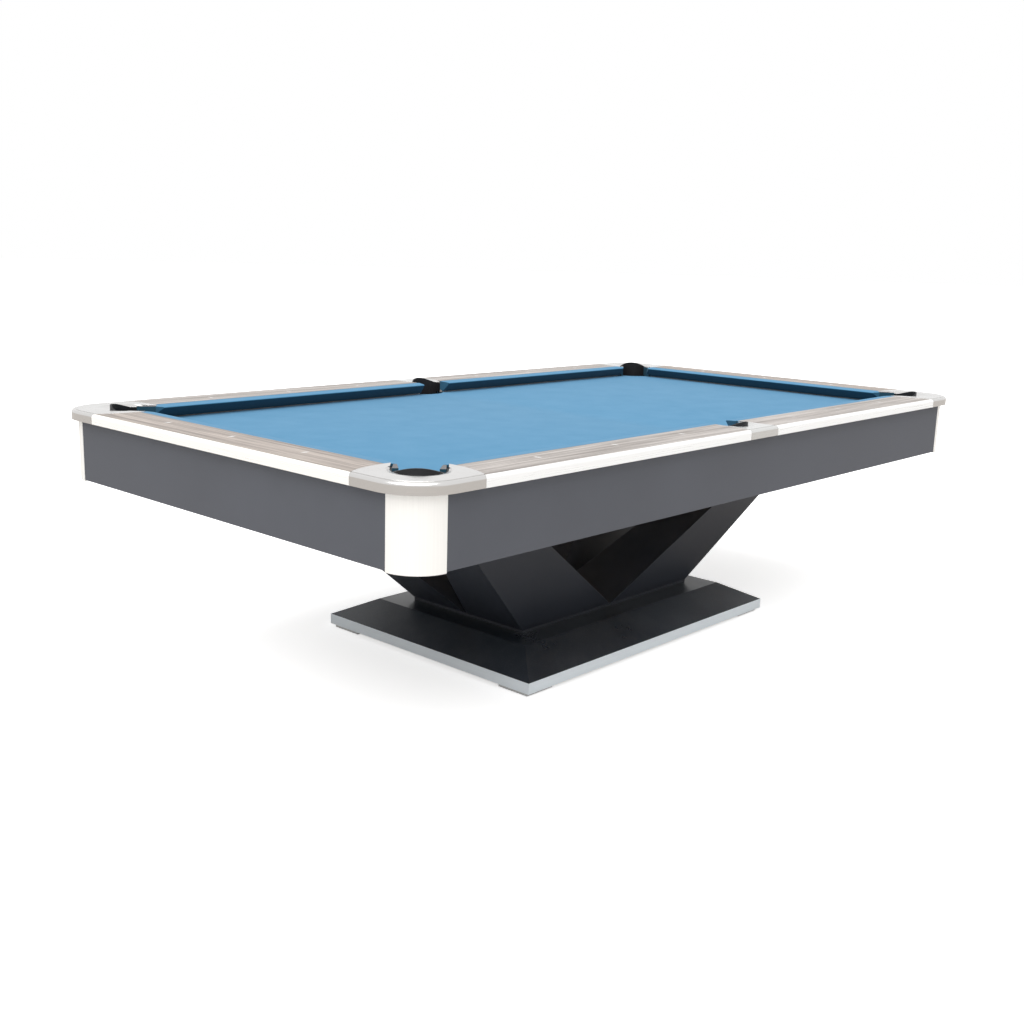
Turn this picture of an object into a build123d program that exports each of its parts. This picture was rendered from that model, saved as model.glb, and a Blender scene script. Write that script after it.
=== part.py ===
"""Nine-foot pool table on a faceted X pedestal.

Millimetres. The origin is on the floor under the middle of the bed, +Z up, X along the
long side. The front is the long side at -Y, the left end is at -X. Most pieces are drawn
once, in the back right quarter (+X, +Y), and mirrored into the other quarters.
"""

import os
from math import radians, sqrt, tan

from build123d import *

os.makedirs("parts", exist_ok=True)

# ---------------------------------------------------------------- driving dimensions
nose_x, nose_y = 1270, 635  # cushion noses from the centre: a 2540 x 1270 playing surface
rail_width = 183  # nose to the outer face of the trim
outer_x, outer_y = nose_x + rail_width, nose_y + rail_width
bed_z = 760  # top of the bed cloth
rail_z = 803  # top of the rails
nose_z = 796.5  # height of the cushion nose
trim_z = 772  # underside of trims and castings

joint_gap = 0.4  # joint line between neighbouring top pieces
lip_radius = 9  # rounded outer edge of trims and castings
lip_drop = 1.2  # step between a casting's flat top and its lip
lip_width = 13  # from the outer face to that step
trim_width = 12

cushion_width = 45  # nose to the line where the cloth meets the wood
cushion_foot = 33  # nose to the rail's foot, under the overhang
face_undercut = 27  # nose to the lower edge of the cushion's face

run_inset = 180  # rails and trims are drawn to here before the castings cut them short

corner_mouth = 117.4  # nose to nose across a corner pocket
corner_facing = 142  # degrees, cushion nose line to facing
side_mouth = 132
side_facing = 104
corner_hole_r = 70
corner_hole_p = 20  # hole centre, outward along the diagonal from the nose corner
corner_throat_p = -33.3  # where the facings end and the casting's hole begins
side_hole_r = 64
side_hole_y = nose_y + 47
side_throat_y = nose_y + 41
casting_corner_r = 132
casting_reach = 223  # length of a corner casting along each outer side
casting_tip = 3  # width of a casting's tips beside its hole
side_casting_half = 78

slate_x, slate_y = 1400, 765
slate_thickness = 30
cloth_thickness = 1
seam_x = 466.7  # seams between the three slates
slate_bite_r = 110
slate_bite_p = 82.7  # bite centre, outward along the diagonal
slate_notch_r = 90
slate_notch_y = nose_y + 96

liner_wall = 5
liner_gap = 0.3
liner_floor_z = 640
liner_crest = 10  # how far the middle of a liner's back stands above the rails
liner_drop = 8  # how far its sides stay below them
dish_depth = 6  # the castings slope down into their holes from behind
corner_dish = (30, 81)  # how far its rim's centre is behind the hole's, and that rim's radius
side_dish = (26, 66)
facing_reach = 4  # how far the corner facings run past the hole's centre
facing_low, facing_high = bed_z + 1, rail_z - 2.5

apron_x, apron_y = outer_x - 23, outer_y - 23  # outer faces of the aprons
apron_bottom, apron_top = 585, 769
apron_thickness = 25
apron_gap = 0.5  # joint between an apron's end and the post's flange
post_r = 100
post_bottom = 582
post_wall = 5

limb_bottom_z, limb_skirt_z, limb_top_z = 115, 585, 600
limb_foot_x, limb_foot_y = 456, 256  # outer corner of a limb at its foot
limb_head_x, limb_head_y = 958, 418  # outer corner where it passes the apron's bottom
groove_head_x, groove_head_y = 705, 272  # inner corner there
limb_wall = 20

plate_z = 107  # top of the plinth's plateau, under the pedestal
plateau_x, plateau_y = 542, 344
plinth_x, plinth_y = 659, 468
plinth_bottom, band_top = 12, 47
band_thickness = 6
hood_wall = 15

foot_x, foot_y = 590, 394
foot_size = 118
foot_top = 11.7
screw_r = 10
screw_collar = 15  # half of the collar's width across flats
nut_bottom, nut_top = 27, 51

beam_bottom, beam_step = 608, 668  # long beams, then cross beams up to the slate
slate_bottom = bed_z - cloth_thickness - slate_thickness
long_beam_y = 350
long_beam_width, cross_beam_width = 60, 70
bracket_width, bracket_drop, bracket_thickness, bracket_overlap = 50, 50, 4, 60
head_plate_x, head_plate_y = 220, 120
bracket_beam_half = 700
cross_beams_at = ((0, 575), (seam_x, bracket_beam_half), (905, bracket_beam_half), (1330, 555))

sight_length, sight_width, sight_depth = 32, 9, 2
sight_from_nose = 95
sight_step = 2 * nose_y / 4

bolt_r = 5
bolt_hole_r = 5.5
bolt_from_nose = 112
rail_bolts_long = (330, 640, 950)
rail_bolts_end = (0, 320)


# ---------------------------------------------------------------- helpers
def corner_xy(p, t):
    """Plan point beside the back right corner pocket: p outward along the diagonal from
    the nose corner, t across it (negative towards the long rail)."""
    return nose_x + (p + t) / sqrt(2), nose_y + (p - t) / sqrt(2)


def save(part, name):
    part.label = name
    export_step(part, f"parts/{name}.step")


def save_quarters(master, name):
    """One node in each quarter, from the one drawn in the back right quarter."""
    with BuildPart() as back_left:
        add(master)
        mirror(about=Plane.YZ, mode=Mode.REPLACE)
    save(master, f"{name}_back_right")
    save(back_left.part, f"{name}_back_left")
    for side, source in (("right", master), ("left", back_left.part)):
        with BuildPart() as front:
            add(source)
            mirror(about=Plane.XZ, mode=Mode.REPLACE)
        save(front.part, f"{name}_front_{side}")


def save_pair(master, name, about, names):
    """Two nodes: the one drawn, and its mirror image about a plane."""
    with BuildPart() as other:
        add(master)
        mirror(about=about, mode=Mode.REPLACE)
    save(master, f"{name}_{names[0]}")
    save(other.part, f"{name}_{names[1]}")


def four_of(master):
    """A group of four separate solids, one in each quarter."""
    with BuildPart() as group:
        add(master)
        mirror(about=Plane.YZ)
        mirror(about=Plane.XZ)
    return group.part


def extruded(outline, low, high):
    with BuildPart() as block:
        with BuildSketch(Plane.XY.offset(low)):
            add(outline)
        extrude(amount=high - low)
    return block.part


# ---------------------------------------------------------------- plan outlines
def corner_hole(radius, mouth_p):
    """U-shaped hole: a half circle at the back and straight sides to the mouth."""
    with BuildSketch() as outline:
        with BuildLine():
            back = [
                corner_xy(corner_hole_p, -radius),
                corner_xy(corner_hole_p + radius, 0),
                corner_xy(corner_hole_p, radius),
            ]
            ThreePointArc(*back)
            Polyline(back[2], corner_xy(mouth_p, radius), corner_xy(mouth_p, -radius), back[0])
        make_face()
    return outline.sketch


def facing_t(p):
    """Half the corner pocket's mouth, at a distance p along its diagonal."""
    half = corner_mouth / 2
    return half - tan(radians(corner_facing - 135)) * (p + half)


def corner_wedge(extra):
    """The mouth between the two facings, from the playing field to the throat."""
    far_p = -corner_mouth / 2 - extra
    far_t, throat_t = facing_t(far_p), facing_t(corner_throat_p)
    with BuildSketch() as outline:
        with BuildLine():
            Polyline(
                corner_xy(far_p, -far_t),
                corner_xy(corner_throat_p, -throat_t),
                corner_xy(corner_throat_p, throat_t),
                corner_xy(far_p, far_t),
                close=True,
            )
        make_face()
    return outline.sketch


def corner_casting_outline():
    """Footprint with a bowed joint against each rail and a round outer corner."""
    tip = corner_hole_r + casting_tip
    joint_long, joint_end = outer_x - casting_reach, outer_y - casting_reach
    bow_out, bow_in = 258, 103  # the bow's middle, in from the outer corner
    with BuildSketch() as outline:
        with BuildLine():
            ThreePointArc(
                (joint_long, outer_y),
                (outer_x - bow_out, outer_y - bow_in),
                corner_xy(corner_throat_p, -tip),
            )
            Line(corner_xy(corner_throat_p, -tip), corner_xy(corner_throat_p, tip))
            ThreePointArc(
                corner_xy(corner_throat_p, tip),
                (outer_x - bow_in, outer_y - bow_out),
                (outer_x, joint_end),
            )
            Line((outer_x, joint_end), (outer_x, outer_y - casting_corner_r))
            RadiusArc(
                (outer_x, outer_y - casting_corner_r),
                (outer_x - casting_corner_r, outer_y),
                -casting_corner_r,
            )
            Line((outer_x - casting_corner_r, outer_y), (joint_long, outer_y))
        make_face()
    return outline.sketch


def side_hole(radius, from_y):
    """The back of the side pocket's round hole, from the throat outward."""
    with BuildSketch() as outline:
        with Locations((0, side_hole_y)):
            Circle(radius)
        with Locations((0, from_y - radius)):
            Rectangle(4 * radius, 2 * radius, mode=Mode.SUBTRACT)
    return outline.sketch


def side_half_width(y):
    """Half the side pocket's mouth, at a distance y from the centre line."""
    return side_mouth / 2 - tan(radians(side_facing - 90)) * (y - nose_y)


def side_wedge(extra):
    near_y = nose_y - extra
    with BuildSketch() as outline:
        with BuildLine():
            Polyline(
                (-side_half_width(near_y), near_y),
                (side_half_width(near_y), near_y),
                (side_half_width(side_throat_y), side_throat_y),
                (-side_half_width(side_throat_y), side_throat_y),
                close=True,
            )
        make_face()
    return outline.sketch


def side_casting_outline():
    """Footprint that flares from the pocket to the rail's outer edge."""
    tip_y = nose_y + cushion_width
    tip_x = sqrt(side_hole_r**2 - (tip_y - side_hole_y) ** 2) + casting_tip
    with BuildSketch() as outline:
        with BuildLine():
            Line((-side_casting_half, outer_y), (side_casting_half, outer_y))
            ThreePointArc((side_casting_half, outer_y), (tip_x + 3, outer_y - 72), (tip_x, tip_y))
            Line((tip_x, tip_y), (-tip_x, tip_y))
            ThreePointArc((-tip_x, tip_y), (-tip_x - 3, outer_y - 72), (-side_casting_half, outer_y))
        make_face()
    return outline.sketch


def grown(outline, amount):
    with BuildSketch() as bigger:
        add(outline)
        offset(amount=amount, kind=Kind.INTERSECTION, mode=Mode.REPLACE)
    return bigger.sketch


corner_footprint = corner_casting_outline()
side_footprint = side_casting_outline()


def pocket_cutters(low, high):
    """Everything that a rail or cushion is cut away for, at the back right quarter."""
    tall = (low, high)
    return [
        extruded(grown(corner_footprint, joint_gap), *tall),
        extruded(corner_hole(corner_hole_r, corner_throat_p), *tall),
        extruded(corner_wedge(60), *tall),
        extruded(grown(side_footprint, joint_gap), *tall),
        extruded(side_hole(side_hole_r, side_throat_y), *tall),
        extruded(side_wedge(60), *tall),
    ]


cutters = pocket_cutters(bed_z - 5, rail_z + 20)


# ---------------------------------------------------------------- rails, cushions, trims
def rail_section():
    """Across a rail: y is the distance behind the nose, z the height above the bed."""
    top = rail_z - bed_z
    with BuildSketch() as section:
        with BuildLine():
            Polyline(
                (cushion_foot, 0),
                (slate_y - nose_y, 0),
                (slate_y - nose_y, trim_z - bed_z),
                (outer_y - nose_y - trim_width, trim_z - bed_z),
                (outer_y - nose_y - trim_width, top),
                (cushion_width, top),
                (cushion_width, 10),
                (cushion_foot, 7),
                close=True,
            )
        make_face()
    return section.sketch


def cushion_section():
    """Rubber profile: a sharp nose over an undercut face, glued to the rail's inner side."""
    top = rail_z - bed_z - 0.2
    nose = nose_z - bed_z
    back = cushion_width - 0.1
    with BuildSketch() as section:
        with BuildLine():
            ThreePointArc((1.6, nose - 3), (0, nose), (2.2, nose + 2.9))
            Polyline(
                (2.2, nose + 2.9),
                (back, top),
                (back, 10.5),
                (cushion_foot, 7.5),
                (face_undercut, 4),
                (1.6, nose - 3),
            )
        make_face()
    return section.sketch


def trim_section():
    """Aluminium edge: an upright face and a rounded shoulder up to the wood."""
    inner, outer = outer_y - nose_y - trim_width, outer_y - nose_y
    low, high = trim_z - bed_z, rail_z - bed_z - lip_drop
    with BuildSketch() as section:
        with BuildLine():
            Polyline((inner, high), (inner, low), (outer, low), (outer, high - lip_radius))
            RadiusArc((outer, high - lip_radius), (outer - lip_radius, high), -lip_radius)
            Line((outer - lip_radius, high), (inner, high))
        make_face()
    return section.sketch


long_plane = Plane(origin=(0, nose_y, bed_z), x_dir=(0, 1, 0), z_dir=(1, 0, 0))
end_plane = Plane(origin=(nose_x, 0, bed_z), x_dir=(1, 0, 0), z_dir=(0, -1, 0))


def long_run(section, from_x, to_x):
    """A section swept along the back rail, from one x to another."""
    with BuildPart() as run:
        with BuildSketch(long_plane.offset(from_x)):
            add(section)
        extrude(amount=to_x - from_x)
    return run.part


def end_run(section, half):
    """A section swept along the right end rail, as far each way."""
    with BuildPart() as run:
        with BuildSketch(end_plane):
            add(section)
        extrude(amount=half, both=True)
    return run.part


def both_ends(parts):
    """Cutters of one quarter, with their mirror images at the other end of an end rail."""
    with BuildPart() as pairs:
        for part in parts:
            add(part)
        mirror(about=Plane.XZ)
    return pairs.part


def sight(x, y, turned, low, high):
    """A slender rhombus that points at the cushion."""
    long_half, wide_half = sight_length / 2, sight_width / 2
    along = (long_half, 0) if turned else (0, long_half)
    across = (0, wide_half) if turned else (wide_half, 0)
    with BuildPart() as gem:
        with BuildSketch(Plane.XY.offset(low)):
            with BuildLine():
                Polyline(
                    (x - along[0], y - along[1]),
                    (x - across[0], y - across[1]),
                    (x + along[0], y + along[1]),
                    (x + across[0], y + across[1]),
                    close=True,
                )
            make_face()
        extrude(amount=high - low)
    return gem.part


long_sight_y = nose_y + sight_from_nose
end_sight_x = nose_x + sight_from_nose
long_sights = [(sight_step * n, long_sight_y) for n in (1, 2, 3)]
end_sights = [(end_sight_x, sight_step * n) for n in (-1, 0, 1)]
sight_low, sight_high = rail_z - sight_depth, rail_z + 0.1


# ---------------------------------------------------------------- rails with their bolts and sights
rail_bolt_y = nose_y + bolt_from_nose
rail_bolt_x = nose_x + bolt_from_nose
long_bolts = [(x, rail_bolt_y) for x in rail_bolts_long]
end_bolts = [(rail_bolt_x, y) for y in (-rail_bolts_end[1], *rail_bolts_end[:1], rail_bolts_end[1])]
bolt_head_z, bolt_top_z = slate_bottom - 7, bed_z + 28

with BuildPart() as long_rail:
    add(long_run(rail_section(), 0, outer_x - run_inset))
    for cutter in cutters:
        add(cutter, mode=Mode.SUBTRACT)
    for x, y in long_sights:
        add(sight(x, y, False, sight_low, sight_high + 1), mode=Mode.SUBTRACT)
    with Locations(*[(x, y, bed_z) for x, y in long_bolts]):
        Cylinder(bolt_hole_r, 60, mode=Mode.SUBTRACT)
save_quarters(long_rail.part, "rail")

end_cutters = both_ends(cutters[:3])
with BuildPart() as end_rail:
    add(end_run(rail_section(), outer_y - run_inset))
    add(end_cutters, mode=Mode.SUBTRACT)
    for x, y in end_sights:
        add(sight(x, y, True, sight_low, sight_high + 1), mode=Mode.SUBTRACT)
    with Locations(*[(x, y, bed_z) for x, y in end_bolts]):
        Cylinder(bolt_hole_r, 60, mode=Mode.SUBTRACT)
save_pair(end_rail.part, "rail_end", Plane.YZ, ("right", "left"))

with BuildPart() as long_cushion:
    add(long_run(cushion_section(), 0, nose_x))
    for cutter in cutters:
        add(cutter, mode=Mode.SUBTRACT)
save_quarters(long_cushion.part, "cushion")

with BuildPart() as end_cushion:
    add(end_run(cushion_section(), nose_y))
    add(end_cutters, mode=Mode.SUBTRACT)
save_pair(end_cushion.part, "cushion_end", Plane.YZ, ("right", "left"))

with BuildPart() as long_trim:
    add(long_run(trim_section(), side_casting_half + joint_gap, outer_x - run_inset))
    add(cutters[0], mode=Mode.SUBTRACT)
with BuildPart() as end_trim:
    add(end_run(trim_section(), outer_y - run_inset))
    add(end_cutters, mode=Mode.SUBTRACT)
    mirror(about=Plane.YZ)
save(four_of(long_trim.part), "rail_trims_long")
save(end_trim.part, "rail_trims_end")

with BuildPart() as long_gems:
    for x, y in long_sights:
        add(sight(x, y, False, sight_low, sight_high))
with BuildPart() as sights:
    add(four_of(long_gems.part))
    for x, y in end_sights:
        add(sight(x, y, True, sight_low, sight_high))
        add(sight(-x, y, True, sight_low, sight_high))
save(sights.part, "sights")


def rail_bolt(x, y):
    """Hexagon head under the slate, and a shank up into the rail."""
    with BuildPart() as bolt:
        with BuildSketch(Plane.XY.offset(bolt_head_z)):
            with Locations((x, y)):
                RegularPolygon(8.5, 6, major_radius=False)
        extrude(amount=slate_bottom - bolt_head_z)
        with BuildSketch(Plane.XY.offset(slate_bottom)):
            with Locations((x, y)):
                Circle(bolt_r)
        extrude(amount=bolt_top_z - slate_bottom)
    return bolt.part


with BuildPart() as quarter_bolts:
    for x, y in long_bolts:
        add(rail_bolt(x, y))
with BuildPart() as rail_bolts:
    add(four_of(quarter_bolts.part))
    for x, y in end_bolts:
        add(rail_bolt(x, y))
        add(rail_bolt(-x, y))
save(rail_bolts.part, "rail_bolts")

# ---------------------------------------------------------------- pocket castings
plate_thickness, skirt, hole_rim = 10, 8, 7


def outside_lip(low, high):
    """The ring outside the castings' flat top, between the lip's step and the open air."""
    with BuildPart() as ring:
        with BuildSketch(Plane.XY.offset(low)):
            Rectangle(2 * outer_x + 20, 2 * outer_y + 20)
            RectangleRounded(
                2 * (outer_x - lip_width),
                2 * (outer_y - lip_width),
                casting_corner_r - lip_width,
                mode=Mode.SUBTRACT,
            )
        extrude(amount=high - low)
    return ring.part


lip_step = outside_lip(rail_z - lip_drop, rail_z + 5)


def dish(hole_centre, hole_radius, rim_centre, rim_radius):
    """The slope behind a hole: it narrows downward from a wider, shifted rim to the hole."""
    rise = 1.5  # drawn on past the top of the casting, in dish depths
    spread = [low + rise * (high - low) for low, high in zip(hole_centre, rim_centre)]
    base_radius = hole_radius - 0.5
    with BuildPart() as slope:
        with BuildSketch(Plane.XY.offset(rail_z - dish_depth)):
            with Locations(tuple(hole_centre)):
                Circle(base_radius)
        with BuildSketch(Plane.XY.offset(rail_z + (rise - 1) * dish_depth)):
            with Locations(tuple(spread)):
                Circle(base_radius + rise * (rim_radius - base_radius))
        loft(ruled=True)
    return slope.part


def casting(outline, hole, rim, slope):
    """A plate with a skirt round its outside and a rim round its hole, open underneath."""
    inside = grown(outline, -skirt)
    with BuildSketch() as hollow:
        add(inside)
        add(rim, mode=Mode.SUBTRACT)
    with BuildPart() as body:
        with BuildSketch(Plane.XY.offset(trim_z)):
            add(outline)
            add(hole, mode=Mode.SUBTRACT)
        extrude(amount=rail_z - trim_z)
        with BuildSketch(Plane.XY.offset(trim_z)):
            add(hollow.sketch)
        extrude(amount=rail_z - trim_z - plate_thickness, mode=Mode.SUBTRACT)
        add(lip_step, mode=Mode.SUBTRACT)
        lip_z = rail_z - lip_drop
        rim_edges = [
            edge
            for edge in body.edges()
            if abs(edge.center().Z - lip_z) < 0.01
            and edge.bounding_box().size.Z < 0.01
            and (
                abs(edge.center().Y - outer_y) < 0.01
                or abs(edge.center().X - outer_x) < 0.01
                or (edge.geom_type == GeomType.CIRCLE and abs(edge.radius - casting_corner_r) < 0.01)
            )
        ]
        fillet(rim_edges, radius=lip_radius)
        add(slope, mode=Mode.SUBTRACT)
    return body.part


corner_casting = casting(
    corner_footprint,
    corner_hole(corner_hole_r, corner_throat_p - 5),
    corner_hole(corner_hole_r + hole_rim, corner_throat_p - 5),
    dish(
        corner_xy(corner_hole_p, 0),
        corner_hole_r,
        corner_xy(corner_hole_p + corner_dish[0], 0),
        corner_dish[1],
    ),
)
save_quarters(corner_casting, "corner_casting")

side_casting = casting(
    side_footprint,
    side_hole(side_hole_r, side_throat_y),
    side_hole(side_hole_r + hole_rim, side_throat_y),
    dish((0, side_hole_y), side_hole_r, (0, side_hole_y + side_dish[0]), side_dish[1]),
)
save_pair(side_casting, "side_casting", Plane.XZ, ("back", "front"))

# ---------------------------------------------------------------- pocket liners
liner_arm_p = -10  # how far the liner's arms come forward between the slates' edges
side_arm_y = side_hole_y + 16


def crest(half, centre, direction):
    """The space under a liner's arched back, seen along the pocket."""
    low, top, depth = rail_z - liner_drop, rail_z + liner_crest, 200
    across = Vector(0, 0, 1).cross(direction)
    with BuildPart() as space:
        with BuildSketch(Plane(origin=(*centre, 0), x_dir=across, z_dir=direction)):
            with BuildLine():
                Polyline((half, low), (2 * half, low), (2 * half, low - depth))
                Polyline((2 * half, low - depth), (-2 * half, low - depth), (-2 * half, low), (-half, low))
                ThreePointArc((-half, low), (0, top), (half, low))
            make_face()
        extrude(amount=2.5 * half, both=True)
    return space.part


def liner(full_ring, back_ring, top_ring, floor, under_crest):
    """A moulded cup under the slate, open at the front above it, with a raised back."""
    under_slate = slate_bottom - 2
    with BuildPart() as back:
        add(extruded(top_ring, bed_z, rail_z + liner_crest + 1))
        add(under_crest, mode=Mode.INTERSECT)
    with BuildPart() as cup:
        add(extruded(floor, liner_floor_z, liner_floor_z + liner_wall))
        add(extruded(full_ring, liner_floor_z, under_slate))
        add(extruded(back_ring, under_slate, bed_z))
        add(back.part)
    return cup.part


def ring(outer, inner):
    with BuildSketch() as outline:
        add(outer)
        add(inner, mode=Mode.SUBTRACT)
    return outline.sketch


def disc(x, y, radius):
    with BuildSketch() as outline:
        with Locations((x, y)):
            Circle(radius)
    return outline.sketch


corner_out, corner_in = corner_hole_r - liner_gap, corner_hole_r - liner_gap - liner_wall
side_out, side_in = side_hole_r - liner_gap, side_hole_r - liner_gap - liner_wall
corner_centre = corner_xy(corner_hole_p, 0)
diagonal = Vector(1, 1, 0).normalized()

corner_liner = liner(
    ring(disc(*corner_centre, corner_out), disc(*corner_centre, corner_in)),
    ring(corner_hole(corner_out, liner_arm_p + 18), corner_hole(corner_in, liner_arm_p)),
    ring(corner_hole(corner_out, corner_throat_p), corner_hole(corner_in, corner_throat_p - 5)),
    disc(*corner_centre, corner_out),
    crest(62, corner_centre, diagonal),
)
save(four_of(corner_liner), "corner_pocket_liners")

side_liner = liner(
    ring(disc(0, side_hole_y, side_out), disc(0, side_hole_y, side_in)),
    ring(side_hole(side_out, side_arm_y), side_hole(side_in, side_arm_y - 5)),
    ring(side_hole(side_out, side_throat_y + 1), side_hole(side_in, side_throat_y - 5)),
    disc(0, side_hole_y, side_out),
    crest(56, (0, side_hole_y), Vector(0, 1, 0)),
)
with BuildPart() as side_liners:
    add(side_liner)
    mirror(about=Plane.XZ)
save(side_liners.part, "side_pocket_liners")


def corner_facing_block(side):
    """The facing's end inside a corner casting's hole, between the cushion and the liner."""
    near_p, far_p = corner_throat_p + joint_gap, corner_hole_p + facing_reach
    outer_t = corner_in - 0.5
    with BuildSketch() as outline:
        with BuildLine():
            Polyline(
                corner_xy(near_p, side * facing_t(near_p)),
                corner_xy(far_p, side * facing_t(far_p)),
                corner_xy(far_p, side * outer_t),
                corner_xy(near_p, side * outer_t),
                close=True,
            )
        make_face()
    return extruded(outline.sketch, facing_low, facing_high)


with BuildPart() as quarter_facings:
    add(corner_facing_block(1))
    add(corner_facing_block(-1))
save(four_of(quarter_facings.part), "corner_facings")

# ---------------------------------------------------------------- slates and bed cloth


def slate_cuts(low, high):
    """Bites for the four corner pockets and notches for the two side pockets."""
    centre = corner_xy(slate_bite_p, 0)
    with BuildPart() as cuts:
        with BuildSketch(Plane.XY.offset(low)):
            with Locations(*[(sx * centre[0], sy * centre[1]) for sx in (1, -1) for sy in (1, -1)]):
                Circle(slate_bite_r)
            with Locations((0, slate_notch_y), (0, -slate_notch_y)):
                Circle(slate_notch_r)
        extrude(amount=high - low)
    return cuts.part


def all_bolt_places():
    places = [(sx * x, sy * y) for x, y in long_bolts for sx in (1, -1) for sy in (1, -1)]
    return places + [(sx * x, y) for x, y in end_bolts for sx in (1, -1)]


def bed_layer(from_x, to_x, low, high):
    """A layer of the bed between two seams, with its pocket cuts and bolt holes."""
    with BuildPart() as layer:
        with BuildSketch(Plane.XY.offset(low)):
            with Locations(((from_x + to_x) / 2, 0)):
                Rectangle(to_x - from_x, 2 * slate_y)
        extrude(amount=high - low)
        add(slate_cuts(low - 1, high + 1), mode=Mode.SUBTRACT)
        holes = [(x, y, low) for x, y in all_bolt_places() if from_x < x < to_x]
        if holes:
            with Locations(*holes):
                Cylinder(bolt_hole_r, 4 * (high - low), mode=Mode.SUBTRACT)
    return layer.part


slate_top = bed_z - cloth_thickness
seams = (-slate_x, -seam_x, seam_x, slate_x)
for name, low_x, high_x in zip(("left", "middle", "right"), seams, seams[1:]):
    save(bed_layer(low_x + 0.2, high_x - 0.2, slate_bottom, slate_top), f"slate_{name}")
save(bed_layer(-slate_x, slate_x, slate_top, bed_z), "bed_cloth")

# ---------------------------------------------------------------- aprons and corner posts
post_x, post_y = apron_x - post_r + 1, apron_y - post_r + 1

with BuildPart() as long_apron:
    with BuildSketch(Plane.XY.offset(apron_bottom)):
        with Locations((0, apron_y - apron_thickness / 2)):
            Rectangle(2 * (post_x - apron_gap), apron_thickness)
    extrude(amount=apron_top - apron_bottom)
    chamfer(long_apron.edges().filter_by(Axis.X).sort_by(Axis.Y)[-2:], length=1)
save_pair(long_apron.part, "apron", Plane.XZ, ("back", "front"))

with BuildPart() as end_apron:
    with BuildSketch(Plane.XY.offset(apron_bottom)):
        with Locations((apron_x - apron_thickness / 2, 0)):
            Rectangle(apron_thickness, 2 * (post_y - apron_gap))
    extrude(amount=apron_top - apron_bottom)
    chamfer(end_apron.edges().filter_by(Axis.Y).sort_by(Axis.X)[-2:], length=1)
save_pair(end_apron.part, "apron", Plane.YZ, ("right", "left"))

flange = post_r - apron_thickness
inner_r = post_r - post_wall

# a quarter-round cover, with a flange along each side for the apron to butt against
with BuildPart() as corner_post:
    with BuildSketch(Plane(origin=(post_x, post_y, post_bottom))):
        with BuildLine():
            Polyline((0, post_r), (0, flange), (post_wall, flange), (post_wall, inner_r - 1))
            ThreePointArc(
                (post_wall, inner_r - 1),
                (inner_r / sqrt(2), inner_r / sqrt(2)),
                (inner_r - 1, post_wall),
            )
            Polyline((inner_r - 1, post_wall), (flange, post_wall), (flange, 0), (post_r, 0))
            RadiusArc((post_r, 0), (0, post_r), -post_r)
        make_face()
    extrude(amount=trim_z - post_bottom)
save_quarters(corner_post.part, "corner_post")

# ---------------------------------------------------------------- subframe
with BuildPart() as long_beam:
    with BuildSketch(Plane.XY.offset(beam_bottom)):
        with Locations((0, long_beam_y)):
            Rectangle(2 * (apron_x - 55), long_beam_width)
    extrude(amount=beam_step - beam_bottom)
save_pair(long_beam.part, "long_beam", Plane.XZ, ("back", "front"))

with BuildPart() as cross_beams:
    for x, half in cross_beams_at:
        with BuildSketch(Plane.XY.offset(beam_step)):
            with Locations((x, 0)):
                Rectangle(cross_beam_width, 2 * half)
        extrude(amount=slate_bottom - beam_step)
    mirror(about=Plane.YZ)
save(cross_beams.part, "cross_beams")


def apron_bracket(x):
    """Angle from under a cross beam's end out to the long apron's inner face."""
    near, reach = bracket_beam_half - bracket_overlap, apron_y - apron_thickness
    with BuildPart() as angle:
        with BuildSketch(Plane.YZ.offset(x - bracket_width / 2)):
            with BuildLine():
                Polyline(
                    (near, beam_step),
                    (reach, beam_step),
                    (reach, beam_step - bracket_drop),
                    (reach - bracket_thickness, beam_step - bracket_drop),
                    (reach - bracket_thickness, beam_step - bracket_thickness),
                    (near, beam_step - bracket_thickness),
                    close=True,
                )
            make_face()
        extrude(amount=bracket_width)
    return angle.part


with BuildPart() as quarter_brackets:
    for x, half in cross_beams_at:
        if half == bracket_beam_half:
            add(apron_bracket(x))
save(four_of(quarter_brackets.part), "apron_brackets")

# ---------------------------------------------------------------- pedestal


def limb_corners(z):
    """A limb's inner and outer corner at a height: both run straight from foot to head."""
    share = (z - limb_bottom_z) / (limb_skirt_z - limb_bottom_z)
    inner = (groove_head_x * share, groove_head_y * share)
    outer = (
        limb_foot_x + (limb_head_x - limb_foot_x) * share,
        limb_foot_y + (limb_head_y - limb_foot_y) * share,
    )
    return inner, outer


def limb_section(z, inset):
    inner, outer = limb_corners(z)
    with BuildSketch(Plane.XY.offset(z)) as section:
        with Locations(((inner[0] + outer[0]) / 2, (inner[1] + outer[1]) / 2)):
            Rectangle(outer[0] - inner[0] - 2 * inset, outer[1] - inner[1] - 2 * inset)
    return section.sketch


with BuildPart() as limb:
    add(limb_section(limb_bottom_z, 0.25))
    add(limb_section(limb_top_z, 0.25))
    loft(ruled=True)
    low_z, high_z = limb_bottom_z + limb_wall, limb_top_z - limb_wall
    hollow_low, hollow_high = limb_section(low_z, limb_wall), limb_section(high_z, limb_wall)
    loft(sections=[hollow_low, hollow_high], ruled=True, mode=Mode.SUBTRACT)
save_quarters(limb.part, "pedestal_limb")

head_inner, head_outer = limb_corners(limb_top_z)
head_x, head_y = (head_inner[0] + head_outer[0]) / 2, long_beam_y
head_bolts = [(head_x + dx, head_y + dy) for dx in (-80, 80) for dy in (-18, 18)]
with BuildPart() as head_plate:
    with BuildSketch(Plane.XY.offset(limb_top_z)):
        with Locations((head_x, head_y)):
            Rectangle(head_plate_x, head_plate_y)
        with Locations(*head_bolts):
            Circle(bolt_hole_r, mode=Mode.SUBTRACT)
    extrude(amount=beam_bottom - limb_top_z)
save(four_of(head_plate.part), "pedestal_head_plates")

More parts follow.
